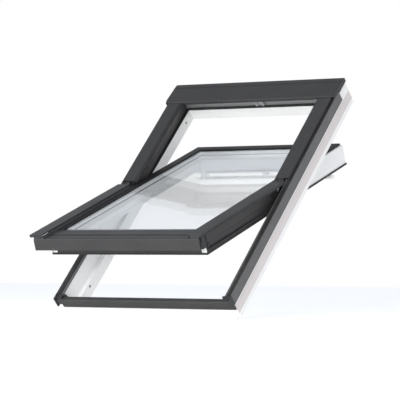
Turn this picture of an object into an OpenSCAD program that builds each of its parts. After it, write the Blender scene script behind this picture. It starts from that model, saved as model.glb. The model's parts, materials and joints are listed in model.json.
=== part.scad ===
// Centre-pivot roof window: white frame, dark metal cladding, sash standing open.
// Everything is drawn in the plane of the window and then laid on the roof slope:
// x runs across the window, s runs up the slope from the frame's lower end, and
// n runs outward from the frame's room-side back. Lengths are millimetres.
// The sash is drawn shut and then turned about its pivot.

/* [Roof] */
// Slope of the roof that the window lies in, in degrees
roof_pitch = 45; // [20:1:60]

/* [Frame] */
// Outer width of the white frame
frame_w = 780; // [640:1:1140]
// Outer length of the white frame, up the slope
frame_l = 1178; // [950:1:1600]
// Width of a frame member where it is widest
frame_member = 38; // [34:1:60]
// Thickness of a frame member's wall above its ledge
wall_t = 22; // [18:1:30]
// Height of the ledge above the back
ledge_n = 46; // [40:1:60]
// Height of the side walls above the back
wall_n = 121; // [110:1:150]
// Height of the bottom member's wall above the back
bottom_wall_n = 60; // [50:1:62]
// Thickness of the bottom member
bottom_t = 21; // [16:1:23]
// Thickness of the top member's wall
top_t = 43; // [36:1:48]
// Depth of the step at the back that takes the room lining
step_n = 16; // [10:1:20]
// Inset of that step from the frame's outer sides
step_inset = 25; // [15:1:26]
// Width of the sealing strip let into each outer side
strip_w = 40; // [20:1:42]
// Thickness of that strip
strip_t = 2; // [1:0.5:3]

/* [Cladding] */
// Thickness of the folded metal
sheet = 2.5; // [1.5:0.1:3]
// Overhang of the side cladding beyond the white frame
side_over = 6; // [5:0.5:10]
// Height of the side cladding's outer face
side_face = 42; // [30:1:50]
// Depth of the channel along the side cladding's top
channel_n = 3.5; // [2:0.5:5]
// Width of the black gasket in that channel
channel_gasket_w = 20; // [15:0.5:22]
// Reach of the corner blocks below the frame's lower end
corner_reach = 30; // [27:1:34]
// Reach of the bottom cladding's front flange
flange_reach = 26; // [20:1:27]
// Height of the bottom cladding's front flange
flange_face = 20; // [15:1:27]
// Height of the bottom cladding's water check above the frame's back
check_n = 116; // [105:1:117]
// Width of a side cover's flat top
cover_flat = 55; // [40:1:58]
// Height of a side cover above its edges
cover_rise = 11; // [9:0.5:14]
// Width of a side cover's rounded outer edge
cover_slope = 2; // [1:0.5:4]
// Length of the hood along the slope
hood_l = 113; // [95:1:130]
// Height of the hood's lower edge above the back
hood_n = 144; // [143:1:155]
// Height of the hood's upper edge above the back
hood_back_n = 136; // [132:1:140]

/* [Sash] */
// Gap at each side between the sash's white rail and the frame's wall ledge
sash_gap = 5; // [4:0.5:8]
// Distance from the frame's lower end to the sash's white bottom rail
sash_low_gap = 33; // [33:1:45]
// Distance from the frame's upper end to the sash's white top rail
sash_top_gap = 77; // [77:1:95]
// Height of the sash's room face above the frame's back
sash_back_n = 36; // [34:1:40]
// Gap between the sash covers' inner fold and the sloping sheet below it
fold_gap = 1; // [0.5:0.5:3]
// Gap at each side between the side plates' foot and the frame's cladding
foot_gap = 3.5; // [2:0.5:5]
// Width of the sash's side rails
stile_w = 31; // [26:1:50]
// Width of the sash's bottom rail
low_rail_w = 42; // [35:1:60]
// Width of the sash's top rail
top_rail_w = 41; // [38:1:60]
// Depth of the sash's top rail below the other rails' room face
top_rail_drop = 9; // [6:1:10]
// Height of the sash's rails up to the glass bed
rail_n = 58; // [54:1:60]
// Thickness of the rails' outer upstand beside the glass
upstand_t = 13; // [8:1:15]
// Overlap of the dark border over the glass, from the sash's side
border_w = 47; // [42:1:70]
// Reach of the sash's front skirt below the frame's lower end
skirt_reach = 40; // [38:1:50]
// Depth of the front skirt
skirt_face = 41; // [30:1:44]
// Half the front skirt's inset from the side covers' outer edge
skirt_inset = 15; // [13:1:30]

/* [Glass] */
// Thickness of each pane
pane_t = 4; // [3:0.5:6]
// Space between the panes
cavity = 15; // [12:1:16]
// Clearance round the glass edge
glass_play = 3; // [2:0.5:5]
// Width of the edge sealant
sealant_w = 8; // [5:1:10]
// Width of the spacer bar
spacer_w = 23; // [10:1:24]

/* [Pivot] */
// Distance of the pivot above the window's middle, up the slope
pivot_up = 11; // [0:1:40]
// Height of the pivot above the frame's back
pivot_n = 133; // [132:0.5:134]
// Opening of the sash as it stands
rest_opening = 25.6; // [0:0.1:60]
// Largest opening, for cleaning the outside of the glass
max_opening = 155; // [120:1:155]
// Radius of the pivot pins
pin_r = 4; // [3:0.5:4.5]
// Radial clearance of the pivot pins
pin_play = 0.05; // [0.02:0.01:0.1]
// Radius of the hinge plates round the pins
ear_r = 6; // [5.5:0.5:6]
// Gap from the pivot to the end of the sash's side covers
cover_gap_low = 30; // [29:1:45]
// Gap from the pivot to the end of the frame's side covers
cover_gap_up = 8; // [7:1:20]

/* [Ventilation and lock] */
// Half length of the control bar
bar_half = 315; // [200:1:320]
// Gap from the ends of the flap to the sash's rails
flap_end_gap = 18; // [15:1:60]
// Thickness of the flap
flap_t = 8; // [6:1:12]
// Opening of the flap when the bar is pulled, in degrees
flap_open = 25; // [10:1:30]
// Diameter of the flap's pivot rod
flap_rod_d = 5; // [4:0.5:6]
// Width of a control bar bracket
bracket_w = 12; // [8:1:20]
// Travel of the latch
latch_travel = 20; // [8:1:20]
// Width of the latch
latch_w = 16; // [10:1:24]
// Radius of the barrel bolt
bolt_r = 4; // [3:0.5:5]
// Travel of the barrel bolt
bolt_travel = 14; // [12:1:16]
// Radial clearance of the barrel bolt
bolt_play = 0.1; // [0.05:0.05:0.3]

/* [Fasteners] */
// Radius of the cladding screws' heads
screw_head_r = 4; // [3:0.5:6]
// Height of the cladding screws' heads
screw_head_h = 1.6; // [1:0.2:3]
// Radius of the screws' shanks
screw_r = 1.8; // [1.5:0.1:2.5]
// Radius of the pilot holes for the installation brackets
bracket_hole_r = 2.5; // [2:0.1:4]
// Depth of the lower pilot holes
bracket_hole_l = 18; // [10:1:20]
// Depth of the upper pilot holes
upper_hole_l = 20; // [10:1:20]
// Distance of those holes from the frame's ends
bracket_from_end = 220; // [190:1:260]

/* [Hidden] */
$fn = 48;
tiny = 0.01;

// colours
white = [0.93, 0.93, 0.92];
clad = [0.27, 0.27, 0.28];
clad_light = [0.4, 0.4, 0.41];
black = [0.08, 0.08, 0.08];
steel = [0.7, 0.7, 0.72];
glass = [0.82, 0.88, 0.93, 0.4];

// frame lines, for the right-hand side
frame_x = frame_w / 2;
inner_x = frame_x - frame_member;
wall_x = frame_x - wall_t;
step_x = frame_x - step_inset;
clad_x = frame_x + side_over;
clad_n = wall_n + sheet;
edge_n = clad_n + channel_n;
back_s0 = 2;
check_s = 9;
top_wall_s = frame_l - top_t;
top_ledge_s = top_wall_s - 13;
pivot_s = frame_l / 2 + pivot_up;
lip_n = wall_n - 3;
corner_x = clad_x - 6;

// side covers, the same section on the frame and on the sash
cover_out_x = clad_x - 11;
cover_edge_n = edge_n + 0.8;
cover_top_n = edge_n + 1 + cover_rise;
flat_out_x = cover_out_x - cover_slope;
flat_in_x = flat_out_x - cover_flat;
upper_cover_s0 = pivot_s + cover_gap_up;
lower_cover_s1 = pivot_s - cover_gap_low;

// hood
hood_s1 = frame_l + sheet;
hood_s0 = frame_l - hood_l;
hood_x = clad_x - 4;
strip_end_s = frame_l - 70;
upper_cover_s1 = hood_s0 + 30;

// sash lines
sash_x = inner_x - sash_gap;
sash_s0 = sash_low_gap;
sash_s1 = frame_l - sash_top_gap;
bed_n = sash_back_n + rail_n;
gasket_n = 3;
glass_n0 = bed_n + gasket_n;
glass_n1 = glass_n0 + 2 * pane_t + cavity;
upstand_n = glass_n1 - 2;
glass_x = sash_x - upstand_t - glass_play;
glass_s0 = sash_s0 + upstand_t + glass_play;
glass_s1 = sash_s1 - upstand_t - glass_play;
border_x = sash_x - border_w;
border_n = glass_n1 + 2 * sheet;
front_border_s = sash_s0 + low_rail_w - 17;
top_border_s = sash_s1 - top_rail_w;
top_back_n = sash_back_n - top_rail_drop;
rim_x = flat_in_x - 4;
skirt_x = cover_out_x - skirt_inset;

// hinges: plates on the sash and on the frame, with the pins between
sash_plate_t = 3.5;
frame_plate_x = wall_x - 5.5;
frame_plate_t = 3;

// barrel bolt: its place shut, and where the largest opening carries it
bolt_s = sash_s1 - 31;
bolt_n = sash_back_n - 11;
bolt_tip_x = sash_x - 1;
bush_r = 6.5;
bush_l = 10;
bolt_ds = bolt_s - pivot_s;
bolt_dn = bolt_n - pivot_n;
far_bolt_s = pivot_s + bolt_ds * cos(max_opening) + bolt_dn * sin(max_opening);
far_bolt_n = pivot_n - bolt_ds * sin(max_opening) + bolt_dn * cos(max_opening);

// ventilation flap and control bar
flap_x = sash_x - stile_w - flap_end_gap;
flap_axis_s = sash_s1 - 7;
flap_axis_n = top_back_n - 6;
flap_s0 = sash_s1 - top_rail_w - 2;
flap_n1 = top_back_n - 2;
bar_s = sash_s1 - top_rail_w - 20;
bar_n = top_back_n - 24;
slot_x0 = 45;

// lock
lock_s0 = sash_s1 - latch_travel - 12.5;
lock_n0 = sash_back_n + 20;
lock_n1 = bed_n - 5;
latch_n = (lock_n0 + lock_n1) / 2;
latch_h = 12;
latch_tip_s = sash_s1 + 2 + latch_travel;
striker_s0 = latch_tip_s - 5;

// ---------- drawing helpers ----------

// the origin is the middle of the bottom member's back
module on_roof() rotate([roof_pitch, 0, 0]) translate([0, -(back_s0 + bottom_t) / 2, 0]) children();

// puts what is drawn shut at the sash's resting place
module on_sash() {
  on_roof() translate([0, pivot_s, pivot_n]) rotate([-rest_opening, 0, 0])
    translate([0, -pivot_s, -pivot_n]) children();
}

// outline in (s, n), drawn along x
module across(x0, x1, outline) {
  translate([x0, 0, 0]) rotate([90, 0, 90]) linear_extrude(x1 - x0) polygon(outline);
}

// outline in (x, n), drawn up the slope
module upslope(s0, s1, outline) {
  translate([0, s1, 0]) rotate([90, 0, 0]) linear_extrude(s1 - s0) polygon(outline);
}

// outline in (x, s), drawn outward
module outward(n0, n1, outline) {
  translate([0, 0, n0]) linear_extrude(n1 - n0) polygon(outline);
}

module block(x0, x1, s0, s1, n0, n1) {
  translate([x0, s0, n0]) cube([x1 - x0, s1 - s0, n1 - n0]);
}

module left() mirror([1, 0, 0]) children();

module both_sides() {
  children();
  left() children();
}

// round bar along x
module rod_x(x0, x1, s, n, r) {
  translate([x0, s, n]) rotate([0, 90, 0]) cylinder(h = x1 - x0, r = r);
}

// flat frame-shaped ring in the window plane
module ring(x, s0, s1, w, n0, n1) {
  difference() {
    block(-x, x, s0, s1, n0, n1);
    block(-x + w, x - w, s0 + w, s1 - w, n0 - 1, n1 + 1);
  }
}

// pan-head screw along x: shank into the wall, domed head towards the middle
module screw_inward(x, s, n) {
  rod_x(x, x + 6, s, n, screw_r);
  translate([x, s, n]) rotate([0, -90, 0]) screw_head();
}

module screw_outward(x, s, n) {
  rod_x(x - 6, x, s, n, screw_r);
  translate([x, s, n]) rotate([0, 90, 0]) screw_head();
}

module screw_head() {
  difference() {
    intersection() {
      cylinder(h = screw_head_h, r = screw_head_r);
      translate([0, 0, screw_head_h - screw_head_r * 1.6]) sphere(r = screw_head_r * 1.6);
    }
    translate([-screw_head_r * 0.5, -0.5, screw_head_h - 0.7])
      cube([screw_head_r, 1, 2]);
    translate([-0.5, -screw_head_r * 0.5, screw_head_h - 0.7])
      cube([1, screw_head_r, 2]);
  }
}

// ---------- frame ----------

side_rail_outline = [
  [inner_x, 0], [step_x, 0], [step_x, step_n], [frame_x, step_n], [frame_x, wall_n],
  [wall_x, wall_n], [wall_x, ledge_n], [inner_x, ledge_n]
];

// bracket holes: place up the slope and depth; and places of the cladding screws
bracket_holes = [[bracket_from_end, bracket_hole_l],
                 [frame_l - bracket_from_end, upper_hole_l]];
bracket_n = step_n + 9;
strip_n0 = bracket_n + 9;
inner_screws = [pivot_s + 150, pivot_s + 400];
inner_screw_n = ledge_n + 28;
top_screws = [-230, 230];

module frame_side() {
  difference() {
    upslope(0, frame_l, side_rail_outline);
    for (h = bracket_holes)
      rod_x(frame_x - h[1], frame_x + 1, h[0], bracket_n, bracket_hole_r);
    block(frame_x - strip_t, frame_x + 1, -1, frame_l + 1, strip_n0, strip_n0 + strip_w);
    for (s = inner_screws)
      rod_x(wall_x - 1, wall_x + 6 - sheet + 1, s, inner_screw_n, screw_r);
  }
}

// soft strips that seal the frame to the roof's underlay, flush in both outer sides
module side_strips() {
  color([0.85, 0.78, 0.77]) on_roof() both_sides()
    block(frame_x - strip_t, frame_x, 0, frame_l, strip_n0, strip_n0 + strip_w);
}

module frame_right_rail() {
  color(white) on_roof() frame_side();
}

module frame_left_rail() {
  color(white) on_roof() difference() {
    left() frame_side();
    for (p = [[bolt_s, bolt_n], [far_bolt_s, far_bolt_n]])
      left() rod_x(inner_x - 1, inner_x + bush_l + bolt_travel - 6, p[0], p[1], bush_r);
  }
}

module frame_bottom_rail() {
  outline = [
    [back_s0, 0], [bottom_t, 0], [bottom_t, bottom_wall_n], [0, bottom_wall_n],
    [0, step_n + 4], [back_s0 + 4, step_n + 4], [back_s0 + 4, step_n], [back_s0, step_n]
  ];
  color(white) on_roof() difference() {
    intersection() {
      across(-wall_x, wall_x, outline);
      union() {
        block(-inner_x, inner_x, -1, frame_member, -1, wall_n);
        block(-wall_x, wall_x, -1, frame_member, ledge_n, wall_n);
      }
    }
    for (x = [-frame_x + 52, frame_x - 52])
      translate([x, -1, 32]) rotate([-90, 0, 0]) cylinder(h = 9, r = 2.5);
  }
}

module frame_top_rail() {
  outline = [
    [top_ledge_s, 0], [frame_l - 2, 0], [frame_l - 2, step_n], [frame_l, step_n],
    [frame_l, wall_n], [top_wall_s, wall_n], [top_wall_s, ledge_n],
    [top_ledge_s, ledge_n]
  ];
  color(white) on_roof() difference() {
    intersection() {
      across(-wall_x, wall_x, outline);
      union() {
        block(-inner_x, inner_x, top_ledge_s - 1, frame_l + 1, -1, wall_n + 1);
        block(-wall_x, wall_x, top_ledge_s - 1, frame_l + 1, ledge_n, wall_n + 1);
      }
    }
    for (x = top_screws)
      translate([x, top_wall_s - 1, lip_n - 14]) rotate([-90, 0, 0])
        cylinder(h = 5, r = screw_r);
  }
}

// folded sheet: caps the bottom wall, rises as a water check and drops as a flange
module frame_bottom_cladding() {
  top_n = check_n - 2.5;
  outline = [
    [bottom_t, bottom_wall_n], [bottom_t, bottom_wall_n + sheet],
    [-check_s + sheet, bottom_wall_n + sheet], [-check_s + sheet, check_n - 1],
    [-check_s, check_n], [-flange_reach + 3, check_n], [-flange_reach, top_n],
    [-flange_reach, top_n - flange_face], [-flange_reach + sheet, top_n - flange_face],
    [-flange_reach + sheet, top_n - 1], [-flange_reach + 4, check_n - sheet],
    [-check_s, check_n - sheet], [-check_s, bottom_wall_n]
  ];
  color(clad) on_roof() union() {
    across(-wall_x + sheet, wall_x - sheet, outline);
    intersection() {
      across(-corner_x, corner_x, outline);
      block(-corner_x, corner_x, -flange_reach - 1, -0.5, 0, wall_n + 10);
    }
  }
}

side_cladding_outline = [
  [clad_x, edge_n - side_face], [clad_x, edge_n], [clad_x - sheet, edge_n],
  [clad_x - sheet, clad_n], [wall_x - sheet, clad_n], [wall_x - sheet, lip_n],
  [wall_x, lip_n], [wall_x, wall_n], [clad_x - sheet, wall_n],
  [clad_x - sheet, edge_n - side_face]
];

module side_cladding() upslope(0, strip_end_s, side_cladding_outline);
module right_side_cladding() color(clad_light) on_roof() side_cladding();
module left_side_cladding() color(clad_light) on_roof() left() side_cladding();

module channel_gasket() {
  x1 = clad_x - sheet;
  x0 = x1 - channel_gasket_w;
  upslope(0, strip_end_s, [[x0, clad_n], [x1, clad_n], [x1, edge_n], [x0 + 2, edge_n]]);
}
module channel_gaskets() color(black) on_roof() both_sides() channel_gasket();

// plastic pieces that close the lower ends of the side cladding: a cheek outside
// the bottom cladding, a bridge over the wall and a plug inside it
module frame_corner_blocks() {
  low_n = edge_n - side_face;
  plug_x = wall_x - sheet - 9;
  seam = 0.3;
  color(black) on_roof() both_sides() {
    across(corner_x, clad_x, [
      [-corner_reach, low_n], [-corner_reach, edge_n - 3], [-corner_reach + 3, edge_n],
      [-seam, edge_n], [-seam, low_n]
    ]);
    across(wall_x - sheet - 1, corner_x + tiny, [
      [-flange_reach + 4, check_n], [-flange_reach + 4, clad_n], [-seam, clad_n],
      [-seam, check_n]
    ]);
    across(plug_x, wall_x - sheet, [
      [-check_s + sheet, bottom_wall_n + sheet], [-check_s + sheet, clad_n - 3],
      [-check_s + sheet + 3, clad_n], [0, clad_n], [16, bottom_wall_n + sheet + 12],
      [16, bottom_wall_n + sheet]
    ]);
  }
}

// wide folded cover: flat top, short outer lip, inner lip down to a given height
lip_end_n = cover_top_n - 4.5;
function cover_outline(inner_n) = [
  [flat_in_x, inner_n], [flat_in_x, cover_top_n - 0.8], [flat_in_x + 0.8, cover_top_n],
  [flat_out_x, cover_top_n], [cover_out_x, cover_top_n - 1.5], [cover_out_x, lip_end_n],
  [cover_out_x - sheet, lip_end_n], [cover_out_x - sheet, cover_top_n - sheet],
  [flat_in_x + sheet, cover_top_n - sheet], [flat_in_x + sheet, inner_n]
];

// black seal under a cover's outer lip
module outer_seal(s0, s1) {
  upslope(s0, s1, [
    [cover_out_x - sheet - 3, cover_edge_n], [cover_out_x - 1, cover_edge_n],
    [cover_out_x - 1, lip_end_n], [cover_out_x - sheet, lip_end_n],
    [cover_out_x - sheet, cover_top_n - sheet],
    [cover_out_x - sheet - 3, cover_top_n - sheet]
  ]);
}

module upper_cover() {
  upslope(upper_cover_s0, upper_cover_s1, cover_outline(cover_top_n - 4));
  // foot that stands on the side cladding
  block(wall_x + 2, wall_x + 2 + sheet, upper_cover_s0 + 6, upper_cover_s1,
        clad_n, cover_top_n - sheet + tiny);
}

// black seals along the upper covers: a lip on the inner edge and one on the outer
module upper_cover_seals() {
  color(black) on_roof() both_sides() {
    outer_seal(upper_cover_s0, upper_cover_s1);
    upslope(upper_cover_s0, hood_s0 - 0.2, [
      [flat_in_x, cover_top_n - 1], [flat_in_x - 8, cover_top_n - 6],
      [flat_in_x - 9, cover_edge_n + 1], [flat_in_x - 7, cover_edge_n + 1],
      [flat_in_x - 5.5, cover_top_n - 7], [flat_in_x + sheet, cover_top_n - 4],
      [flat_in_x, cover_top_n - 4]
    ]);
  }
}

module right_upper_cover() color(clad) on_roof() upper_cover();
module left_upper_cover() color(clad) on_roof() left() upper_cover();

// flat strip on the wall's inner face above the pivot
module inner_cladding() {
  difference() {
    upslope(pivot_s + 12, top_wall_s, [
      [wall_x - 2, ledge_n], [wall_x, ledge_n], [wall_x, lip_n], [wall_x - 2, lip_n]
    ]);
    for (s = inner_screws) rod_x(wall_x - 3, wall_x + 1, s, inner_screw_n, screw_r);
  }
}
module side_inner_cladding() color(clad_light) on_roof() both_sides() inner_cladding();

module top_inner_cladding() {
  color(clad_light) on_roof() difference() {
    across(-wall_x + 2, wall_x - 2, [
      [top_wall_s - sheet, lip_n],
      [top_wall_s, lip_n], [top_wall_s, ledge_n], [top_wall_s - sheet, ledge_n]
    ]);
    for (x = top_screws)
      translate([x, top_wall_s - sheet - 1, lip_n - 14]) rotate([-90, 0, 0])
        cylinder(h = sheet + 2, r = screw_r);
  }
}

// one-piece gasket on the ledge round the upper half
module upper_frame_gasket() {
  out_x = wall_x - 2.2;
  out_s = top_wall_s - sheet - 0.2;
  s0 = pivot_s + 14;
  gasket_lip = 11;
  color(black) on_roof() outward(ledge_n, ledge_n + 3, [
    [out_x, s0], [out_x, out_s], [-out_x, out_s], [-out_x, s0],
    [-inner_x - 0.5, s0], [-inner_x - 0.5, top_ledge_s + 0.5],
    [inner_x + 0.5, top_ledge_s + 0.5], [inner_x + 0.5, s0]
  ]);
  // raised lip along the top member
  color(black) on_roof() across(-inner_x, inner_x, [
    [top_ledge_s + 0.5, ledge_n + 3 - tiny], [top_ledge_s + 2, ledge_n + gasket_lip],
    [top_ledge_s + 4, ledge_n + gasket_lip], [out_s, ledge_n + 3 - tiny]
  ]);
}

// hood: folded sheet over the top member and the covers' upper ends
groove_n = hood_back_n + 4;
hood_outline = [
  [hood_s1, hood_back_n - 16], [hood_s1, hood_back_n], [frame_l - 12, hood_back_n + 3],
  [frame_l - 21, groove_n], [frame_l - 22, groove_n - 2.5], [frame_l - 25, groove_n - 2.2],
  [frame_l - 26, groove_n + 0.6],
  [hood_s0 + 11, hood_n], [hood_s0 + 2, hood_n - 1.5], [hood_s0, hood_n - 4],
  [hood_s0, cover_top_n + 0.3], [hood_s0 + sheet, cover_top_n + 0.3],
  [hood_s0 + 11.5, hood_n - sheet], [frame_l - 28.5, groove_n - 1.7],
  [frame_l - 27, groove_n - 4.6], [frame_l - 20, groove_n - 5.2],
  [frame_l - 19, groove_n - sheet], [frame_l - 13, hood_back_n + 3 - sheet],
  [hood_s1 - sheet, hood_back_n - 1.8], [hood_s1 - sheet, hood_back_n - 16]
];

module hood() {
  color(clad) on_roof() union() {
    across(-hood_x, hood_x, hood_outline);
    // lip between the side covers
    across(-flat_in_x + 1, flat_in_x - 1, [
      [hood_s0, cover_edge_n], [hood_s0, cover_top_n + 0.4],
      [hood_s0 + sheet, cover_top_n + 0.4], [hood_s0 + sheet, cover_edge_n]
    ]);
  }
}

module hood_end_caps() {
  outline = [
    [hood_s0, edge_n + 0.5], [hood_s0, cover_top_n + 0.5], [hood_s0 + 11, hood_n],
    [frame_l - 12, hood_back_n + 3], [hood_s1, hood_back_n], [hood_s1, hood_back_n - 16],
    [strip_end_s + 2, hood_back_n - 16], [strip_end_s + 2, edge_n + 0.5]
  ];
  color(black) on_roof() both_sides() across(hood_x, clad_x, outline);
}

module frame_screws() {
  color(steel) on_roof() {
    both_sides() for (s = inner_screws) screw_inward(wall_x - 2, s, inner_screw_n);
    for (x = top_screws) translate([x, top_wall_s - sheet, lip_n - 14]) {
      rotate([-90, 0, 0]) cylinder(h = 6, r = screw_r);
      rotate([90, 0, 0]) screw_head();
    }
  }
}

// hinge plate on the wall, with an ear round the pivot pin
module frame_hinge() {
  difference() {
    union() {
      across(frame_plate_x, frame_plate_x + frame_plate_t, [
        [pivot_s - 44, ledge_n + 6], [pivot_s - 2, ledge_n + 6], [pivot_s + ear_r, lip_n - 6],
        [pivot_s + ear_r, pivot_n], [pivot_s - ear_r, pivot_n],
        [pivot_s - 14, lip_n - 6], [pivot_s - 44, lip_n - 26]
      ]);
      across(frame_plate_x + frame_plate_t - tiny, wall_x, [
        [pivot_s - 44, ledge_n + 6], [pivot_s - 2, ledge_n + 6], [pivot_s - 2, lip_n - 20],
        [pivot_s - 44, lip_n - 26]
      ]);
      rod_x(frame_plate_x, frame_plate_x + frame_plate_t, pivot_s, pivot_n, ear_r);
    }
    rod_x(frame_plate_x - 1, wall_x, pivot_s, pivot_n, pin_r + pin_play);
  }
}
module frame_hinges() color(steel) on_roof() both_sides() frame_hinge();

// catch for the latch: a block with a pocket, on the top member's inner face
module striker() {
  pocket_x = latch_w / 2 + 2;
  color(black) on_roof() difference() {
    block(-20, 20, striker_s0, top_wall_s - sheet, latch_n - 12, latch_n + 12);
    block(-pocket_x, pocket_x, striker_s0 - 1, striker_s0 + 8,
          latch_n - latch_h / 2 - 2, latch_n + latch_h / 2 + 2);
    block(-pocket_x, pocket_x, striker_s0 - 1, striker_s0 + 4.5, latch_n - 13, latch_n);
  }
}

// rings in the left rail that take the barrel bolt, shut and fully open
module bolt_bushes() {
  color(steel) on_roof() left() for (p = [[bolt_s, bolt_n], [far_bolt_s, far_bolt_n]])
    difference() {
      rod_x(inner_x, inner_x + bush_l, p[0], p[1], bush_r);
      rod_x(inner_x - 1, inner_x + bush_l + 1, p[0], p[1], bolt_r + 0.6);
    }
}

// ---------- sash ----------

// side rail: its glass bed reaches further in than its room face, with a bevel
// between them
module sash_stile() {
  upslope(sash_s0, sash_s1, [
    [sash_x - stile_w, sash_back_n], [sash_x, sash_back_n], [sash_x, upstand_n],
    [sash_x - upstand_t, upstand_n], [sash_x - upstand_t, bed_n], [border_x, bed_n],
    [border_x, bed_n - 12], [sash_x - stile_w, sash_back_n + 16]
  ]);
}
module sash_right_rail() color(white) on_sash() sash_stile();
module sash_left_rail() color(white) on_sash() left() sash_stile();

module sash_bottom_rail() {
  color(white) on_sash() difference() {
    union() {
      block(-sash_x + stile_w, sash_x - stile_w, sash_s0, sash_s0 + low_rail_w,
            sash_back_n, bed_n);
      block(-sash_x + upstand_t, sash_x - upstand_t, sash_s0, sash_s0 + upstand_t,
            bed_n, upstand_n);
    }
    both_sides() sash_stile();
  }
}

// top rail with an air passage behind the flap and a pocket for the lock
module sash_top_rail() {
  slot_x1 = flap_x - 20;
  color(white) on_sash() difference() {
    union() {
      block(-sash_x + stile_w, sash_x - stile_w, sash_s1 - top_rail_w, sash_s1,
            top_back_n, bed_n);
      block(-sash_x + upstand_t, sash_x - upstand_t, sash_s1 - upstand_t, sash_s1,
            bed_n, upstand_n);
    }
    both_sides() {
      block(slot_x0, slot_x1, sash_s1 - 33, sash_s1 - 19, top_back_n - 1, sash_back_n + 30);
      block(slot_x0, slot_x1, sash_s1 - 21, sash_s1 + 1, sash_back_n + 16, sash_back_n + 30);
    }
    block(-30, 30, lock_s0, sash_s1 + 1, lock_n0, lock_n1);
    both_sides() sash_stile();
  }
}

module outer_pane() {
  color(glass) on_sash()
    block(-glass_x, glass_x, glass_s0, glass_s1, glass_n1 - pane_t, glass_n1);
}

module inner_pane() {
  color(glass) on_sash()
    block(-glass_x, glass_x, glass_s0, glass_s1, glass_n0, glass_n0 + pane_t);
}

module edge_sealant() {
  color(black) on_sash()
    ring(glass_x, glass_s0, glass_s1, sealant_w, glass_n0 + pane_t, glass_n1 - pane_t);
}

module spacer_bar() {
  color(steel) on_sash()
    ring(glass_x - sealant_w, glass_s0 + sealant_w, glass_s1 - sealant_w, spacer_w,
         glass_n0 + pane_t, glass_n1 - pane_t);
}

module glazing_gasket() {
  w = glass_x - border_x;
  color(black) on_sash() difference() {
    block(-glass_x, glass_x, glass_s0, glass_s1, bed_n, glass_n0);
    block(-glass_x + w, glass_x - w, sash_s0 + low_rail_w, sash_s1 - top_rail_w,
          bed_n - 1, glass_n0 + 1);
  }
}

// packers that carry the glass at its lower edge
module setting_blocks() {
  color(black) on_sash() both_sides()
    block(120, 200, sash_s0 + upstand_t, glass_s0, bed_n, glass_n1 - 3);
}

// front cover: border over the glass, groove, rounded nose and deep skirt
skirt_n0 = glass_n1 - 2 - skirt_face;
front_outline = [
  [front_border_s, glass_n1], [front_border_s, glass_n1 + 3], [16, glass_n1 + 3.8],
  [14, glass_n1 + 0.6], [-6, glass_n1 + 0.6], [-8, glass_n1 + 3.8],
  [-skirt_reach + 7, glass_n1 + 3.5], [-skirt_reach + 2, glass_n1 + 1.5],
  [-skirt_reach, glass_n1 - 2], [-skirt_reach, skirt_n0],
  [-skirt_reach + sheet, skirt_n0], [-skirt_reach + sheet, glass_n1 - 2.7],
  [-skirt_reach + 4, glass_n1 - 0.7], [-skirt_reach + 7.5, glass_n1 + 1],
  [-9.5, glass_n1 + 1.2], [-7.5, glass_n1 - 1.9], [sash_s0 - sheet, glass_n1 - 1.9],
  [sash_s0 - sheet, sash_back_n + 7], [sash_s0, sash_back_n + 7], [sash_s0, glass_n1 - 1.9],
  [glass_s0 - 1, glass_n1 - 1.9], [glass_s0 - 1, glass_n1]
];

module sash_front_cover() {
  color(clad) on_sash() union() {
    across(-rim_x, rim_x, front_outline);
    intersection() {
      across(-skirt_x, skirt_x, front_outline);
      block(-skirt_x, skirt_x, -skirt_reach - 1, -skirt_reach + sheet, 0, glass_n1 + 3.5);
    }
  }
}

module sash_front_seal() {
  n = glass_n1 + 0.6;
  color(black) on_sash() across(-rim_x, rim_x, [
    [-6, n], [14, n], [13, n + 1.6], [-5, n + 1.6]
  ]);
}

// wide cover, and the sloping sheet below its inner fold, down to the glass border
module sash_cover() {
  fold_n = cover_top_n - 5;
  upslope(-skirt_reach, lower_cover_s1, cover_outline(fold_n));
  upslope(-skirt_reach, lower_cover_s1, [
    [rim_x + 0.3, glass_n1 + 2.2], [rim_x + 0.3, glass_n1 + 4.7],
    [flat_in_x, fold_n - fold_gap], [flat_in_x + sheet, fold_n - fold_gap - 3],
    [flat_in_x + 0.5, glass_n1 + 2.2]
  ]);
}
module sash_right_cover() color(clad) on_sash() sash_cover();
module sash_left_cover() color(clad) on_sash() left() sash_cover();

// moulded pieces that close the sash's lower corners, under the covers' ends
module sash_corner_pieces() {
  x0 = flat_in_x + sheet;
  x1 = cover_out_x - sheet - 3;
  color(black) on_sash() both_sides() {
    upslope(-skirt_reach + sheet, -skirt_reach + 8, [
      [x0, glass_n1 + 14], [x0, cover_top_n - sheet], [x1, cover_top_n - sheet],
      [x1, cover_edge_n], [skirt_x - 1, cover_edge_n], [skirt_x - 1, glass_n1 - 14],
      [rim_x + 12, glass_n1 - 14], [rim_x + 12, glass_n1 + 4]
    ]);
    upslope(3, sash_s0 - sheet, [
      [sash_x - 8, sash_back_n + 31], [plate_face_x, sash_back_n + 31],
      [plate_face_x, glass_n1 - 2], [sash_x - 8, glass_n1 - 2]
    ]);
    block(sash_x, plate_face_x, sash_s0 - sheet - tiny, sash_s0, sash_back_n + 23, glass_n1 - 2);
  }
}

// black seals under the outer lips of the sash's covers
module sash_cover_seals() {
  color(black) on_sash() both_sides() outer_seal(-skirt_reach + 1, lower_cover_s1);
}

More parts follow.
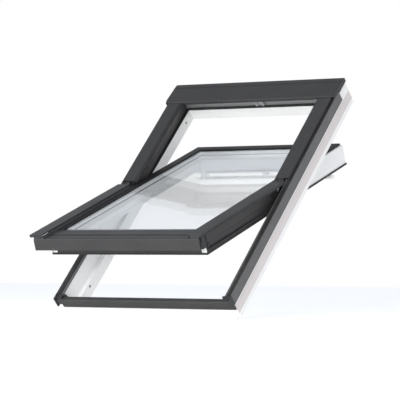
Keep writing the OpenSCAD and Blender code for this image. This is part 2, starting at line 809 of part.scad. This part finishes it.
// clad side of the sash's lower half, with a projecting foot
side_plate_s1 = pivot_s - 42;
plate_face_x = sash_x + 6;
foot_x = wall_x - sheet - foot_gap;
side_screws = [[sash_s0 + 84, sash_back_n + 52], [sash_s0 + 271, sash_back_n + 73]];
side_plate_outline = [
  [sash_x, sash_back_n + 20], [foot_x, sash_back_n + 20],
  [foot_x, sash_back_n + 23], [plate_face_x, sash_back_n + 23],
  [plate_face_x, sash_back_n + 44], [plate_face_x + 2, sash_back_n + 47],
  [plate_face_x + 2, sash_back_n + 77], [plate_face_x, sash_back_n + 80],
  [plate_face_x, cover_top_n - sheet], [plate_face_x - sheet, cover_top_n - sheet],
  [plate_face_x - sheet, upstand_n], [sash_x, upstand_n]
];

module side_plate() {
  difference() {
    upslope(sash_s0, side_plate_s1, side_plate_outline);
    for (p = side_screws) rod_x(sash_x - 1, plate_face_x + 3, p[0], p[1], screw_r);
  }
}
module right_side_plate() color(clad) on_sash() side_plate();
module left_side_plate() color(clad) on_sash() left() side_plate();

// round plastic plugs on the clad sides
module side_plugs() {
  color(black) on_sash() both_sides()
    for (p = [[sash_s0 + 10.6, sash_back_n + 33.5, plate_face_x],
              [pivot_s - 80, sash_back_n + 60, plate_face_x + 2]])
      difference() {
        rod_x(p[2], p[2] + 3, p[0], p[1], 10);
        rod_x(p[2] + 1.2, p[2] + 4, p[0], p[1], 6.5);
      }
}

// black border along the glass: narrow beside the cover, wider above the pivot
border_out_x = sash_x - upstand_t + 3;
module sash_side_border() {
  upslope(front_border_s + 0.2, lower_cover_s1, [
    [border_x, glass_n1], [border_x, border_n], [rim_x + 0.3, border_n],
    [rim_x + 0.3, border_n - sheet], [border_x + sheet, border_n - sheet],
    [border_x + sheet, glass_n1]
  ]);
  upslope(lower_cover_s1, top_border_s, [
    [border_x, glass_n1], [border_x, border_n], [border_out_x, border_n],
    [border_out_x, upstand_n], [border_out_x - sheet, upstand_n],
    [border_out_x - sheet, border_n - sheet], [border_x + sheet, border_n - sheet],
    [border_x + sheet, glass_n1]
  ]);
}
module sash_right_border() color(black) on_sash() sash_side_border();
module sash_left_border() color(black) on_sash() left() sash_side_border();

module sash_top_border() {
  end_s = sash_s1 - 2;
  color(black) on_sash() across(-border_out_x, border_out_x, [
    [top_border_s + 0.01, glass_n1], [top_border_s + 0.01, border_n], [end_s, border_n],
    [end_s, upstand_n], [end_s - sheet, upstand_n], [end_s - sheet, border_n - sheet],
    [top_border_s + sheet, border_n - sheet], [top_border_s + sheet, glass_n1]
  ]);
}

// black gasket round the sash's room-side edge, deeper beside the side plates
module sash_gasket() {
  w = 3;
  color(black) on_sash() {
    ring(sash_x + w, sash_s0 - w, sash_s1 + w, w, sash_back_n, sash_back_n + 7);
    both_sides() block(sash_x, sash_x + w, sash_s0, side_plate_s1, sash_back_n + 7 - tiny,
                       sash_back_n + 20);
  }
}

module sash_screws() {
  color(steel) on_sash() both_sides() for (p = side_screws)
    difference() {
      screw_outward(plate_face_x + 2, p[0], p[1]);
      block(0, sash_x, p[0] - 9, p[0] + 9, p[1] - 9, p[1] + 9);
    }
}

// hinge plate on the sash's side
module sash_hinge() {
  difference() {
    union() {
      across(sash_x, sash_x + sash_plate_t, [
        [pivot_s - 36, sash_back_n + 12], [pivot_s + 46, sash_back_n + 12],
        [pivot_s + 46, sash_back_n + 50], [pivot_s + ear_r, pivot_n - 12],
        [pivot_s + ear_r, pivot_n], [pivot_s - ear_r, pivot_n],
        [pivot_s - ear_r, pivot_n - 12], [pivot_s - 36, sash_back_n + 50]
      ]);
      rod_x(sash_x, sash_x + sash_plate_t, pivot_s, pivot_n, ear_r);
    }
    rod_x(sash_x - 1, sash_x + sash_plate_t + 1, pivot_s, pivot_n, pin_r + pin_play);
  }
}
module sash_hinges() color(steel) on_sash() both_sides() sash_hinge();

module hinge_pins() {
  color(steel) on_sash() both_sides()
    rod_x(sash_x, frame_plate_x + frame_plate_t, pivot_s, pivot_n, pin_r);
}

// friction discs that hold the sash where it is put
module friction_discs() {
  x0 = sash_x + sash_plate_t;
  step = (frame_plate_x - 0.3 - x0) / 4;
  color(black) on_sash() both_sides() for (i = [0 : 3]) difference() {
    rod_x(x0 + i * step, x0 + (i + 1) * step, pivot_s, pivot_n,
          i % 2 == 0 ? ear_r - 0.2 : ear_r - 0.7);
    rod_x(x0 - 1, frame_plate_x, pivot_s, pivot_n, pin_r + pin_play);
  }
}

// lugs and rod that carry the ventilation flap
lug_places = [-flap_x + 60, 0, flap_x - 60];
module flap_lugs() {
  color(white) on_sash() {
    for (x = lug_places) difference() {
      block(x - 5, x + 5, flap_axis_s - 5, flap_axis_s + 5, flap_axis_n - 5, top_back_n);
      rod_x(x - 6, x + 6, flap_axis_s, flap_axis_n, flap_rod_d / 2);
    }
    rod_x(-flap_x, flap_x, flap_axis_s, flap_axis_n, flap_rod_d / 2);
  }
}

module air_filter() {
  color(black) on_sash() both_sides()
    block(slot_x0 + 0.5, flap_x - 20.5, sash_s1 - 12, sash_s1 - 2, sash_back_n + 16,
          sash_back_n + 29.5);
}

module lock_case() {
  color(steel) on_sash() difference() {
    union() {
      block(-29, 29, lock_s0 + 1, sash_s1, lock_n0, lock_n1 - 1);
      block(-36, 36, sash_s1, sash_s1 + 2, lock_n0 - 3, lock_n1 + 2);
    }
    block(-latch_w / 2 - 0.3, latch_w / 2 + 0.3, lock_s0 + 3, sash_s1 + 3,
          latch_n - latch_h / 2 - 0.3, latch_n + latch_h / 2 + 0.3);
  }
}

module latch_bolt() {
  x = latch_w / 2;
  color(steel) on_sash() across(-x, x, [
    [sash_s1 - 9, latch_n - latch_h / 2], [latch_tip_s - 6, latch_n - latch_h / 2],
    [latch_tip_s, latch_n + 1], [latch_tip_s, latch_n + latch_h / 2],
    [sash_s1 - 9, latch_n + latch_h / 2]
  ]);
}

module bolt_housing() {
  x0 = sash_x - 28;
  color(steel) on_sash() left() difference() {
    block(x0, sash_x - 2, bolt_s - 9, bolt_s + 9, bolt_n - 7, sash_back_n);
    rod_x(x0 - 1, sash_x, bolt_s, bolt_n, bolt_r + bolt_play);
    block(x0 + 3, x0 + 9 + bolt_travel, bolt_s - 2.5, bolt_s + 2.5, bolt_n - 8, bolt_n);
  }
}

module barrel_bolt() {
  x0 = sash_x - 28;
  color(steel) on_sash() left() {
    rod_x(x0 - 2, bolt_tip_x, bolt_s, bolt_n, bolt_r);
    translate([x0 + 6, bolt_s, bolt_n - 14]) cylinder(h = 12, r = 2);
    translate([x0 + 6, bolt_s, bolt_n - 17]) cylinder(h = 4, r = 4);
  }
}

// flap on the room side of the top rail, cut away round its lugs
module vent_flap() {
  color(white) on_sash() difference() {
    union() {
      across(-flap_x, flap_x, [
        [flap_s0, flap_n1 - flap_t + 2], [flap_s0, flap_n1], [flap_axis_s, flap_n1],
        [flap_axis_s, flap_n1 - flap_t], [flap_s0 + 2, flap_n1 - flap_t]
      ]);
      rod_x(-flap_x, flap_x, flap_axis_s, flap_axis_n, flap_t / 2);
    }
    rod_x(-flap_x - 1, flap_x + 1, flap_axis_s, flap_axis_n, flap_rod_d / 2 + 0.1);
    for (x = lug_places)
      block(x - 6, x + 6, flap_axis_s - 9, flap_axis_s + 9, flap_axis_n - 9, top_back_n);
    // finger slot in the flap's edge
    block(-flap_x + 14, -flap_x + 80, flap_s0 - 1, flap_s0 + 7, flap_n1 - 3, flap_n1 + 1);
  }
}

module flap_gasket() {
  color(black) on_sash() block(-flap_x + 4, flap_x - 4, flap_s0 + 8, flap_s0 + 14,
                               flap_n1, top_back_n - 0.3);
}

// three arms from the flap to the bar
bracket_places_x = [-flap_x + 6, 0, flap_x - 6];
module bar_brackets() {
  color(white) on_sash() for (x = bracket_places_x)
    across(x - bracket_w / 2, x + bracket_w / 2, [
      [flap_s0 + 4, flap_n1 - flap_t], [flap_s0 + 22, flap_n1 - flap_t],
      [bar_s + 11, bar_n - 4], [bar_s + 11, bar_n + 5], [bar_s - 4, bar_n + 5],
      [bar_s - 4, flap_n1 - 2], [bar_s - 1, flap_n1 + 1], [bar_s + 3, flap_n1 - 2],
      [bar_s + 8, flap_n1 - flap_t + 1.5], [flap_s0, flap_n1 - flap_t + 2],
      [flap_s0 + 2, flap_n1 - flap_t]
    ]);
}

module control_bar() {
  color(white) on_sash() across(-bar_half, bar_half, [
    [bar_s - 11, bar_n - 2], [bar_s - 11, bar_n + 2], [bar_s - 8, bar_n + 5],
    [bar_s + 11, bar_n + 5], [bar_s + 11, bar_n - 5], [bar_s - 8, bar_n - 5]
  ]);
}

frame_bottom_rail();
frame_top_rail();
frame_left_rail();
frame_right_rail();
frame_bottom_cladding();
left_side_cladding();
right_side_cladding();
channel_gaskets();
frame_corner_blocks();
left_upper_cover();
right_upper_cover();
upper_cover_seals();
side_strips();
side_inner_cladding();
top_inner_cladding();
upper_frame_gasket();
hood();
hood_end_caps();
frame_screws();
frame_hinges();
striker();
bolt_bushes();
sash_bottom_rail();
sash_top_rail();
sash_left_rail();
sash_right_rail();
outer_pane();
inner_pane();
spacer_bar();
edge_sealant();
glazing_gasket();
setting_blocks();
sash_front_cover();
sash_front_seal();
sash_left_cover();
sash_right_cover();
sash_cover_seals();
sash_corner_pieces();
left_side_plate();
right_side_plate();
side_plugs();
sash_left_border();
sash_right_border();
sash_top_border();
sash_gasket();
sash_screws();
sash_hinges();
hinge_pins();
friction_discs();
flap_lugs();
air_filter();
lock_case();
bolt_housing();
barrel_bolt();
latch_bolt();
vent_flap();
flap_gasket();
bar_brackets();
control_bar();
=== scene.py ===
# %% [markdown]
# # A centre-pivot roof window, dressed in its real finishes
# The window is already built as solids: a white frame, a sash that turns on two
# pins, folded metal cladding and double glazing. This lesson loads those solids,
# gives each one the finish it has on a real roof window, and lights it softly.
# Every length below is in metres.

# %% Load the window
import bpy
import json
import math
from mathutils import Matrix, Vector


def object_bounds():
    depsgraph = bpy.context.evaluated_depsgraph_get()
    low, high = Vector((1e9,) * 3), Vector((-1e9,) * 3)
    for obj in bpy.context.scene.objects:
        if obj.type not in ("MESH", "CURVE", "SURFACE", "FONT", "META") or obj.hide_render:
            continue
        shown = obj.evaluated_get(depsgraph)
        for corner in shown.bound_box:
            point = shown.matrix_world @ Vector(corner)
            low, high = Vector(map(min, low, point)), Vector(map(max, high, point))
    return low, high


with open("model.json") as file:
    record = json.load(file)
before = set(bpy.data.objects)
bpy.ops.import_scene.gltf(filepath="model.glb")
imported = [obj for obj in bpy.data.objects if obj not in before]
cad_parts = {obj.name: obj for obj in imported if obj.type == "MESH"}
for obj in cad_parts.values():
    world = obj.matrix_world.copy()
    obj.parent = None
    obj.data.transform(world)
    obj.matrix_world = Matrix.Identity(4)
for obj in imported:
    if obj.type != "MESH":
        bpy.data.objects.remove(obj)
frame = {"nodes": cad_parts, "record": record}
record = frame["record"]
cad_low, cad_high = [list(corner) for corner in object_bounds()]

# %% [markdown]
# ## Small helpers for building shader nodes
# A material is a little network of nodes. Writing `new_node` and `link` once
# keeps each recipe below short enough to read as a sentence. They could be
# written out in full each time, but the recipe would be lost among the calls.

# %% Node helpers
def new_node(tree, kind, **settings):
    node = tree.nodes.new(kind)
    for name, value in settings.items():
        setattr(node, name, value)
    return node


def link(tree, source, target):
    tree.links.new(source, target)


def fill(node, **values):
    for name, value in values.items():
        node.inputs[name.replace("_", " ")].default_value = value
    return node


print("helpers ready")

# %% [markdown]
# ## Node groups: effects that several finishes share
# Coated sheet, coated timber and moulded plastic all vary a little in colour
# from place to place, and all have a fine skin. Each effect is a node group
# with named inputs, so that every material can place it with its own values.
# A group gives out only colours, masks and heights; the shader itself stays in
# the material.

# %% Start a node group
def start_group(name, inputs, outputs):
    group = bpy.data.node_groups.new(name, "ShaderNodeTree")
    for label, kind, value in inputs:
        socket = group.interface.new_socket(label, in_out="INPUT", socket_type=kind)
        socket.default_value = value
    for label, kind in outputs:
        group.interface.new_socket(label, in_out="OUTPUT", socket_type=kind)
    return group, new_node(group, "NodeGroupInput"), new_node(group, "NodeGroupOutput")


COLOUR, VALUE = "NodeSocketColor", "NodeSocketFloat"
NOISE_MEAN = 0.5
print("group sockets", COLOUR, VALUE)

# %% [markdown]
# ### Mottle: slow changes of colour
# Rain, sun and handling leave broad, faint patches on any outdoor finish. Two
# layers of noise of different size are added, because one layer alone looks
# like clouds. The patches shift the colour between two given ones.

# %% Mottle group
mottle, inside, outside = start_group(
    "mottle",
    [("Colour", COLOUR, (0.5, 0.5, 0.5, 1)), ("Worn Colour", COLOUR, (0.6, 0.6, 0.6, 1)),
     ("Patches per Metre", VALUE, 9.0), ("Amount", VALUE, 0.3)],
    [("Colour", COLOUR), ("Mask", VALUE)])
place = new_node(mottle, "ShaderNodeTexCoord")
broad = fill(new_node(mottle, "ShaderNodeTexNoise"), Detail=5.0, Roughness=0.6)
fine = fill(new_node(mottle, "ShaderNodeTexNoise"), Detail=3.0, Roughness=0.7)
FINE_PER_BROAD, FINE_SHARE = 9.0, 0.35
finer = new_node(mottle, "ShaderNodeMath", operation="MULTIPLY")
finer.inputs[1].default_value = FINE_PER_BROAD
both = new_node(mottle, "ShaderNodeMath", operation="MULTIPLY_ADD")
both.inputs[1].default_value = FINE_SHARE
spread = new_node(mottle, "ShaderNodeMapRange")
fill(spread, From_Min=0.5, From_Max=0.85)
share = new_node(mottle, "ShaderNodeMath", operation="MULTIPLY")
shift = new_node(mottle, "ShaderNodeMix", data_type="RGBA")
link(mottle, place.outputs["Object"], broad.inputs["Vector"])
link(mottle, place.outputs["Object"], fine.inputs["Vector"])
link(mottle, inside.outputs["Patches per Metre"], broad.inputs["Scale"])
link(mottle, inside.outputs["Patches per Metre"], finer.inputs[0])
link(mottle, finer.outputs[0], fine.inputs["Scale"])
link(mottle, fine.outputs["Fac"], both.inputs[0])
link(mottle, broad.outputs["Fac"], both.inputs[2])
link(mottle, both.outputs[0], spread.inputs["Value"])
link(mottle, spread.outputs["Result"], share.inputs[0])
link(mottle, inside.outputs["Amount"], share.inputs[1])
link(mottle, share.outputs[0], shift.inputs["Factor"])
link(mottle, inside.outputs["Colour"], shift.inputs["A"])
link(mottle, inside.outputs["Worn Colour"], shift.inputs["B"])
link(mottle, shift.outputs["Result"], outside.inputs["Colour"])
link(mottle, spread.outputs["Result"], outside.inputs["Mask"])
print("group", mottle.name, len(mottle.nodes), "nodes")

# %% [markdown]
# ### Coat skin: the orange peel of a sprayed or powder coat
# Paint never lies quite flat. A fine noise gives the little hills of a powder
# coat and a slower one the waviness of the sheet under it. The group gives a
# height for a Bump node and a roughness that follows it, so highlights break up.

# %% Coat skin group
coat_skin, inside, outside = start_group(
    "coat skin",
    [("Grains per Metre", VALUE, 500.0), ("Waves per Metre", VALUE, 12.0),
     ("Grain", VALUE, 0.3), ("Roughness", VALUE, 0.4), ("Roughness Spread", VALUE, 0.1)],
    [("Height", VALUE), ("Roughness", VALUE)])
place = new_node(coat_skin, "ShaderNodeTexCoord")
grain = fill(new_node(coat_skin, "ShaderNodeTexNoise"), Detail=2.0, Roughness=0.5)
waves = fill(new_node(coat_skin, "ShaderNodeTexNoise"), Detail=1.0, Roughness=0.4)
scaled = new_node(coat_skin, "ShaderNodeMath", operation="MULTIPLY_ADD")
off_middle = new_node(coat_skin, "ShaderNodeMath", operation="SUBTRACT")
off_middle.inputs[1].default_value = NOISE_MEAN
rough = new_node(coat_skin, "ShaderNodeMath", operation="MULTIPLY_ADD")
for noise, rate in ((grain, "Grains per Metre"), (waves, "Waves per Metre")):
    link(coat_skin, place.outputs["Object"], noise.inputs["Vector"])
    link(coat_skin, inside.outputs[rate], noise.inputs["Scale"])
link(coat_skin, grain.outputs["Fac"], scaled.inputs[0])
link(coat_skin, inside.outputs["Grain"], scaled.inputs[1])
link(coat_skin, waves.outputs["Fac"], scaled.inputs[2])
link(coat_skin, waves.outputs["Fac"], off_middle.inputs[0])
link(coat_skin, off_middle.outputs[0], rough.inputs[0])
link(coat_skin, inside.outputs["Roughness Spread"], rough.inputs[1])
link(coat_skin, inside.outputs["Roughness"], rough.inputs[2])
link(coat_skin, scaled.outputs[0], outside.inputs["Height"])
link(coat_skin, rough.outputs[0], outside.inputs["Roughness"])
print("group", coat_skin.name, len(coat_skin.nodes), "nodes")

# %% [markdown]
# ### Drawn lines: metal that was rolled or extruded
# The spacer bar and the hinge plates keep fine lines along the direction in
# which they were made. Stretching a noise a hundredfold along one axis draws
# them; a wave texture would be too regular.

# %% Drawn lines group
drawn_lines, inside, outside = start_group(
    "drawn lines",
    [("Lines per Metre", VALUE, 900.0), ("Roughness", VALUE, 0.3),
     ("Roughness Spread", VALUE, 0.2)],
    [("Height", VALUE), ("Roughness", VALUE)])
place = new_node(drawn_lines, "ShaderNodeTexCoord")
stretch = new_node(drawn_lines, "ShaderNodeMapping")
ALONG, BESIDE = 0.01, 0.6
stretch.inputs["Scale"].default_value = (ALONG, BESIDE, 1.0)
lines = fill(new_node(drawn_lines, "ShaderNodeTexNoise"), Detail=4.0, Roughness=0.7)
off_middle = new_node(drawn_lines, "ShaderNodeMath", operation="SUBTRACT")
off_middle.inputs[1].default_value = NOISE_MEAN
rough = new_node(drawn_lines, "ShaderNodeMath", operation="MULTIPLY_ADD")
link(drawn_lines, place.outputs["Object"], stretch.inputs["Vector"])
link(drawn_lines, stretch.outputs["Vector"], lines.inputs["Vector"])
link(drawn_lines, inside.outputs["Lines per Metre"], lines.inputs["Scale"])
link(drawn_lines, lines.outputs["Fac"], off_middle.inputs[0])
link(drawn_lines, off_middle.outputs[0], rough.inputs[0])
link(drawn_lines, inside.outputs["Roughness Spread"], rough.inputs[1])
link(drawn_lines, inside.outputs["Roughness"], rough.inputs[2])
link(drawn_lines, lines.outputs["Fac"], outside.inputs["Height"])
link(drawn_lines, rough.outputs[0], outside.inputs["Roughness"])
print("group", drawn_lines.name, len(drawn_lines.nodes), "nodes")

# %% [markdown]
# ## Finishes
# Each finish starts the same way: a Principled shader whose uniform numbers sit
# on its own sockets. `coated` then adds mottle for colour and coat skin for the
# surface. It serves paint, lacquer, plastic and rubber alike, because these
# differ only in their numbers.

# %% A bare Principled material
def start_finish(name, **uniform):
    finish = bpy.data.materials.new(name)
    finish.use_nodes = True
    tree = finish.node_tree
    shader = tree.nodes["Principled BSDF"]
    fill(shader, **uniform)
    return finish, tree, shader


def add_bump(tree, shader, height, depth, strength=1.0):
    bump = fill(new_node(tree, "ShaderNodeBump"), Strength=strength, Distance=depth)
    link(tree, height, bump.inputs["Height"])
    link(tree, bump.outputs["Normal"], shader.inputs["Normal"])


print("finish starter ready")

# %% [markdown]
# ### The coated recipe
# Its default values suit a sprayed sheet. Each finish changes only what differs.

# %% Coated surfaces
def coated(name, colour, worn, amount=0.3, patches=9.0, rough=0.4, spread=0.1,
           grains=500.0, waves=12.0, grain=0.3, depth=0.0002, **uniform):
    finish, tree, shader = start_finish(name, **uniform)
    tint = new_node(tree, "ShaderNodeGroup", node_tree=mottle)
    fill(tint, Colour=(*colour, 1), Worn_Colour=(*worn, 1), Patches_per_Metre=patches,
         Amount=amount)
    skin = new_node(tree, "ShaderNodeGroup", node_tree=coat_skin)
    fill(skin, Grains_per_Metre=grains, Waves_per_Metre=waves, Grain=grain,
         Roughness=rough, Roughness_Spread=spread)
    link(tree, tint.outputs["Colour"], shader.inputs["Base Color"])
    link(tree, skin.outputs["Roughness"], shader.inputs["Roughness"])
    add_bump(tree, shader, skin.outputs["Height"], depth)
    return finish


print("coated recipe ready")

# %% [markdown]
# ### White timber coating and white metal
# The frame and sash members are timber under a thick, smooth white coating. It
# is nearly even, with a soft shine. The control bar is thinner and harder, so
# its coat is glossier.

# %% White finishes
finishes = {}
finishes["white_finish"] = coated(
    "white coating", (0.83, 0.83, 0.825), (0.76, 0.76, 0.75), amount=0.35, patches=6,
    rough=0.38, spread=0.12, grains=420, waves=14, grain=0.12, depth=0.0003)
finishes["white_metal"] = coated(
    "white enamel", (0.86, 0.86, 0.86), (0.8, 0.8, 0.79), amount=0.3, patches=20,
    rough=0.28, spread=0.1, grains=700, waves=30, grain=0.1, depth=0.0002)
print("finishes", list(finishes))

# %% [markdown]
# ### Cladding
# The outside is wrapped in folded sheet with a baked charcoal coat, which the
# covers get. The strips that stand upright get a lighter grey copy of it, painted
# light where those faces catch the lamps, and the band behind the striker a paler
# copy still, painted light on that band. The narrow borders along the glass are
# black. Paint over metal is not itself metallic, so Metallic stays at nought and
# the coat does the work.

# %% Cladding finishes
finishes["dark_cladding"] = coated(
    "charcoal cladding", (0.026, 0.0255, 0.026), (0.038, 0.037, 0.037), amount=0.45,
    patches=7, rough=0.5, spread=0.12, grains=650, waves=9, grain=0.25, depth=0.00025,
    Specular_IOR_Level=0.4)
# Painted light: a lighter grey copy of the charcoal sheet, standing in for light falling
# on the upright strips.
finishes["grey_cladding"] = coated(
    "grey cladding", (0.092, 0.091, 0.092), (0.12, 0.119, 0.119), amount=0.4,
    patches=7, rough=0.5, spread=0.12, grains=650, waves=9, grain=0.25, depth=0.00025,
    Specular_IOR_Level=0.4)
# Painted light: a paler copy of the cladding, standing in for light on the band behind the
# striker.
finishes["light_cladding"] = coated(
    "light grey cladding", (0.34, 0.34, 0.345), (0.4, 0.4, 0.4), amount=0.4,
    patches=9, rough=0.45, spread=0.12, grains=650, waves=9, grain=0.25, depth=0.00025)
finishes["black_cladding"] = coated(
    "black cladding", (0.008, 0.008, 0.0085), (0.018, 0.018, 0.018), amount=0.4,
    patches=9, rough=0.55, spread=0.12, grains=650, waves=9, grain=0.25, depth=0.00025,
    Specular_IOR_Level=0.3)
print("cladding", [name for name in finishes if "cladding" in name])

# %% [markdown]
# ### Black plastic and rubber
# Corner blocks, end caps and plugs are moulded with a matt spark-eroded skin;
# gaskets are softer and duller. Both are dark enough that only their sheen and
# a little dust show their form. The strip that seals the frame to the roof and
# the filter foam are made the same way, only paler and softer.

# %% Black and soft finishes
finishes["black_plastic"] = coated(
    "black moulding", (0.016, 0.016, 0.017), (0.04, 0.04, 0.04), amount=0.35,
    patches=15, rough=0.55, spread=0.15, grains=1400, waves=25, grain=0.8, depth=0.0002)
finishes["rubber"] = coated(
    "gasket rubber", (0.011, 0.011, 0.011), (0.05, 0.049, 0.047), amount=0.3,
    patches=22, rough=0.72, spread=0.2, grains=900, waves=40, grain=0.6, depth=0.0003)
finishes["seal_strip"] = coated(
    "pale seal strip", (0.66, 0.61, 0.6), (0.6, 0.56, 0.55), amount=0.4,
    patches=12, rough=0.7, spread=0.15, grains=500, waves=60, grain=0.5, depth=0.0006)
finishes["filter"] = coated(
    "filter foam", (0.16, 0.16, 0.165), (0.3, 0.3, 0.3), amount=0.8, patches=160,
    rough=0.9, spread=0.1, grains=450, waves=120, grain=1.0, depth=0.002)
print("finishes so far", len(finishes))

# %% [markdown]
# ### Bare metal
# The spacer bar between the panes is satin aluminium. Latch and bolts are zinc
# plated steel, a little darker and more uneven; screws and hinge plates are
# blackened, so they hardly show.

# %% Metal finishes
METAL_PATCHES, LINE_DEPTH = 30.0, 0.00008


def bare_metal(name, colour, worn, rough, spread, lines, amount):
    finish, tree, shader = start_finish(name, Metallic=1.0)
    tint = new_node(tree, "ShaderNodeGroup", node_tree=mottle)
    fill(tint, Colour=(*colour, 1), Worn_Colour=(*worn, 1),
         Patches_per_Metre=METAL_PATCHES, Amount=amount)
    drawn = new_node(tree, "ShaderNodeGroup", node_tree=drawn_lines)
    fill(drawn, Lines_per_Metre=lines, Roughness=rough, Roughness_Spread=spread)
    link(tree, tint.outputs["Colour"], shader.inputs["Base Color"])
    link(tree, drawn.outputs["Roughness"], shader.inputs["Roughness"])
    add_bump(tree, shader, drawn.outputs["Height"], LINE_DEPTH)
    return finish


finishes["spacer"] = bare_metal(
    "satin spacer", (0.78, 0.79, 0.8), (0.68, 0.69, 0.7), 0.38, 0.2, 900, 0.4)
finishes["steel"] = bare_metal(
    "zinc plate", (0.62, 0.62, 0.63), (0.45, 0.45, 0.46), 0.34, 0.3, 1300, 0.6)

finishes["dark_steel"] = bare_metal(
    "blackened steel", (0.07, 0.07, 0.072), (0.12, 0.12, 0.12), 0.45, 0.3, 1300, 0.6)
print("metals", "spacer, steel, dark_steel")

# %% [markdown]
# ### Glass
# Clear float glass is smooth enough to mirror the sky at a low angle. A slow
# ripple bends the reflection slightly, as toughened panes do. Transmission and
# Metallic stay plain numbers, so that the glass can be read as glass.

# %% Glass finish
glass, tree, shader = start_finish(
    "clear pane", Base_Color=(0.985, 0.994, 1.0, 1), Roughness=0.0, IOR=1.2,
    Transmission_Weight=1.0)
ripple = new_node(tree, "ShaderNodeGroup", node_tree=coat_skin)
fill(ripple, Grains_per_Metre=12.0, Waves_per_Metre=2.0, Grain=0.1)
RIPPLE_DEPTH = 0.0002
add_bump(tree, shader, ripple.outputs["Height"], RIPPLE_DEPTH)
finishes["glass"] = glass
print("glass", glass.name)

# %% [markdown]
# ## Dress the solids
# The record says which slot each solid belongs to, so one loop can put the
# right finish on all of them. Their shapes are left exactly as they are.

# %% Put each finish on its solids
for part in record["subparts"]:
    solid = frame["nodes"][part["node"]]
    solid.data.materials.clear()
    solid.data.materials.append(finishes[part["material_slot"]])
print("dressed", len(record["subparts"]), "solids in", len(finishes), "finishes")

# %% [markdown]
# ## Floor and light
# A pale floor and an even white surround keep attention on the window. The
# floor glows a little, which keeps it as bright as the surround at its edge. The
# surround is a little dimmer overhead and faintly blue there, as an open sky
# is, which the glass then mirrors.

# %% Floor
FLOOR_SIZE, FLOOR_DROP = 12, 0.0005
bpy.ops.mesh.primitive_plane_add(size=FLOOR_SIZE, location=(0, 0, cad_low[2] - FLOOR_DROP))
floor = bpy.context.object
floor.name = "floor"
floor.data.materials.append(coated(
    "pale floor", (0.93, 0.93, 0.93), (0.9, 0.9, 0.9), amount=0.2, patches=0.7,
    rough=0.8, spread=0.05, grains=90, waves=2, grain=0.2, depth=0.0003,
    Emission_Color=(1, 1, 1, 1), Emission_Strength=0.34))
print("floor", floor.name, FLOOR_SIZE)

# %% [markdown]
# ### The surround
# A ramp along the height of the view direction sets how bright the sky is.

# %% White surround
world = bpy.data.worlds.new("studio")
bpy.context.scene.world = world
world.use_nodes = True
tree = world.node_tree
ground = tree.nodes["Background"]
direction = new_node(tree, "ShaderNodeTexCoord")
parts = new_node(tree, "ShaderNodeSeparateXYZ")
ramp = new_node(tree, "ShaderNodeValToRGB")
ramp.color_ramp.elements[0].position = 0.0
ramp.color_ramp.elements[0].color = (1.0, 1.0, 1.0, 1)
ramp.color_ramp.elements[1].position = 1.0
ramp.color_ramp.elements[1].color = (0.42, 0.44, 0.47, 1)
for position, shade in ((0.12, (1.0, 1.0, 1.0, 1)), (0.45, (0.68, 0.72, 0.78, 1))):
    ramp.color_ramp.elements.new(position).color = shade
link(tree, direction.outputs["Generated"], parts.inputs[0])
link(tree, parts.outputs["Z"], ramp.inputs["Fac"])
link(tree, ramp.outputs["Color"], ground.inputs["Color"])
ground.inputs["Strength"].default_value = 1.0
print("surround", world.name)

# %% [markdown]
# ### The lamps
# Two wide, low lamps in front give the cladding its sheen. A bearing of nought
# is straight in front, and positive bearings lie to the right.

# %% Soft lights
middle = [(low + high) / 2 for low, high in zip(cad_low, cad_high)]


def soft_light(name, bearing, height, distance, size, power, colour=(1, 1, 1)):
    lamp = bpy.data.lights.new(name, "AREA")
    lamp.shape = "DISK"
    lamp.size = size
    lamp.energy = power
    lamp.color = colour
    holder = bpy.data.objects.new(name, lamp)
    bpy.context.collection.objects.link(holder)
    turn, tilt = math.radians(bearing), math.radians(height)
    holder.location = (middle[0] + distance * math.sin(turn) * math.cos(tilt),
                       middle[1] - distance * math.cos(turn) * math.cos(tilt),
                       middle[2] + distance * math.sin(tilt))
    holder.rotation_euler = (math.radians(90) - tilt, 0, turn)
    return holder


LAMP_DISTANCE = 5.0
soft_light("key", bearing=15, height=8, distance=LAMP_DISTANCE, size=2.5, power=190)
soft_light("fill", bearing=-35, height=15, distance=LAMP_DISTANCE, size=3.0, power=50)
print("lights on", middle)

# %% [markdown]
# ## Camera
# A long lens from a little below the window's middle, looking up the slope from
# its lower right corner, shows the gap under the sash and the clad side at once.

# %% Camera
lens = bpy.data.cameras.new("camera")
lens.lens = 213.97
lens.sensor_width = 36.0
camera = bpy.data.objects.new("camera", lens)
bpy.context.collection.objects.link(camera)
camera.location = (5.0467, -7.39263, 0.26947)
camera.rotation_euler = (math.radians(91.058), 0, math.radians(33.273))
lens.clip_end = 200
bpy.context.scene.camera = camera
bpy.context.scene.view_settings.view_transform = "Standard"
print("camera", lens.lens)
